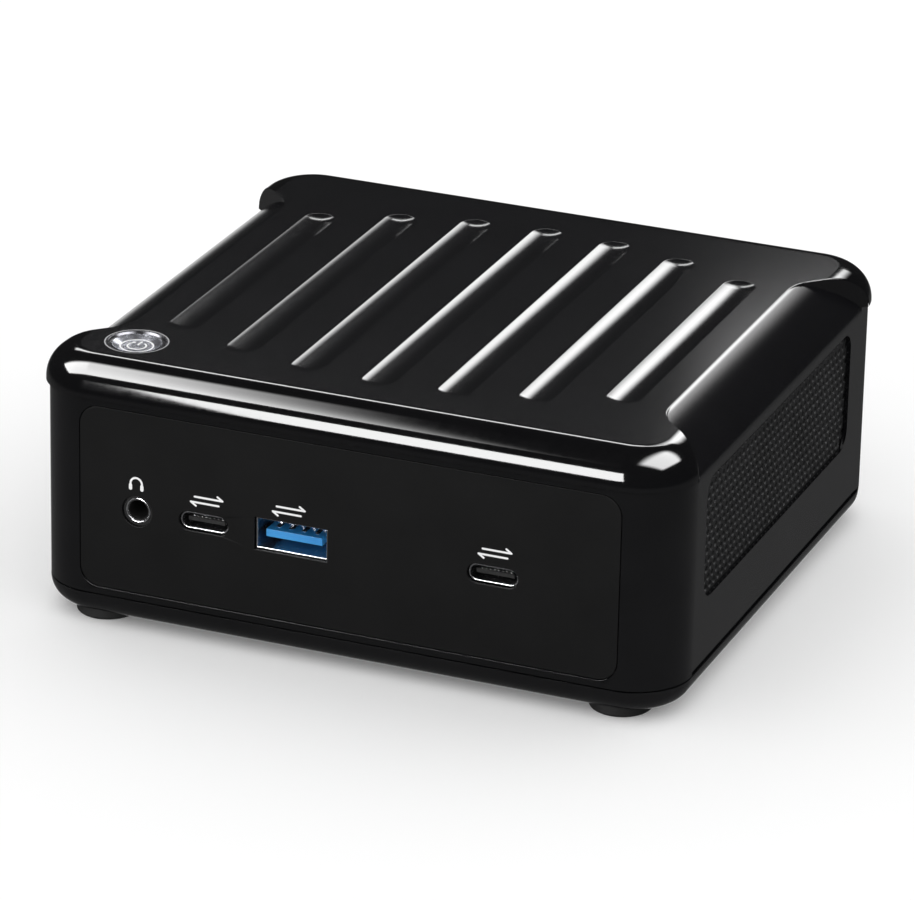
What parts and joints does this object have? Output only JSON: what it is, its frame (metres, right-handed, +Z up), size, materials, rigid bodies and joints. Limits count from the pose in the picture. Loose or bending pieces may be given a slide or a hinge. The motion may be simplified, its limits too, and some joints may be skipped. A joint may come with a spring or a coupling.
{
  "type": "mini pc",
  "caption": "Compact desktop computer in a rounded black case with a channelled top, meshed sides, front and rear ports and a press button.",
  "frame": {"origin": "on the resting surface, under the middle of the case", "axes": "+Z up, the front panel faces -Y, +X towards the right side as seen from the front"},
  "size_m": [0.1174, 0.1082, 0.0479],
  "materials": {
    "top_finish": "fine-grained satin black paint",
    "gloss_black": "polished black",
    "panel_black": "fine matte black",
    "base_black": "satin black",
    "mesh_black": "perforated, matte black",
    "io_plate": "matte black",
    "frame_black": "moulded",
    "rubber_black": "matt",
    "button_chrome": "dark polished",
    "ring_chrome": "dark polished",
    "screw_steel": "zinc plated",
    "dark_screw": "black oxide",
    "shell_steel": "nickel plated",
    "black_insulator": "moulded",
    "blue_insulator": "moulded blue",
    "plunger_red": "moulded",
    "board_green": "solder mask",
    "board_black": "solder mask",
    "chip_green": "laminate",
    "copper": "bare copper",
    "fin_aluminium": "bare",
    "blower_black": "moulded",
    "plate_steel": "zinc plated",
    "socket_ivory": "moulded",
    "antenna_foil": "foil",
    "drive_metal": "bare"
  },
  "bodies": {
    "case": {"top_cover": "top_finish", "front_bezel": "gloss_black", "rear_bezel": "gloss_black", "front_panel": "panel_black", "rear_io_plate": "io_plate", "side_mesh_left": "mesh_black", "side_mesh_right": "mesh_black", "inner_frame": "frame_black", "shell_screws": "screw_steel", "power_button_ring": "ring_chrome", "power_switch": "black_insulator", "switch_board": "board_green", "switch_board_screws": "screw_steel", "audio_jack": "black_insulator", "usb_c_left_shell": "shell_steel", "usb_c_left_tongue": "black_insulator", "usb_a_shell": "shell_steel", "usb_a_tongue": "blue_insulator", "usb_c_right_shell": "shell_steel", "usb_c_right_tongue": "black_insulator", "hdmi_shells": "shell_steel", "hdmi_tongues": "black_insulator", "lan_sockets": "shell_steel", "rear_usb_shell": "shell_steel", "rear_usb_tongues": "blue_insulator", "dc_jack": "black_insulator", "dc_jack_pin": "shell_steel", "mainboard": "board_green", "board_screws": "screw_steel", "cpu_package": "chip_green", "cooler_base": "copper", "cooler_screws": "screw_steel", "heat_pipes": "copper", "fin_stack": "fin_aluminium", "blower_housing": "blower_black", "fan_stator": "copper", "blower_cover": "plate_steel", "memory_sockets": "socket_ivory", "memory_modules": "board_green", "ssd_socket": "black_insulator", "ssd": "board_black", "ssd_screw": "screw_steel", "wireless_card": "board_green", "antennas": "antenna_foil", "coin_cell": "shell_steel", "coin_cell_holder": "black_insulator", "drive_tray": "plate_steel", "drive": "drive_metal", "drive_screws": "screw_steel"},
    "button": {"power_button": "button_chrome", "switch_plunger": "plunger_red"},
    "rotor": {"blower_impeller": "blower_black", "fan_shaft": "screw_steel"},
    "base": {"bottom_cover": "base_black", "feet": "rubber_black", "cover_screws": "dark_screw"}
  },
  "joints": [
    {"name": "power_button_press", "type": "slide", "parent": "case", "child": "button", "axis": [0, 0, -1], "range_m": [0, 0.0005], "stiffness_N_per_m": 3000, "springref_m": -0.0003},
    {"name": "fan_spin", "type": "hinge", "parent": "case", "child": "rotor", "pos_m": [0.001, -0.006, 0.038], "axis": [0, 0, 1], "continuous": true},
    {"name": "bottom_cover_release", "type": "slide", "parent": "case", "child": "base", "axis": [0, 0, -1], "range_m": [0, 0.06]}
  ]
}
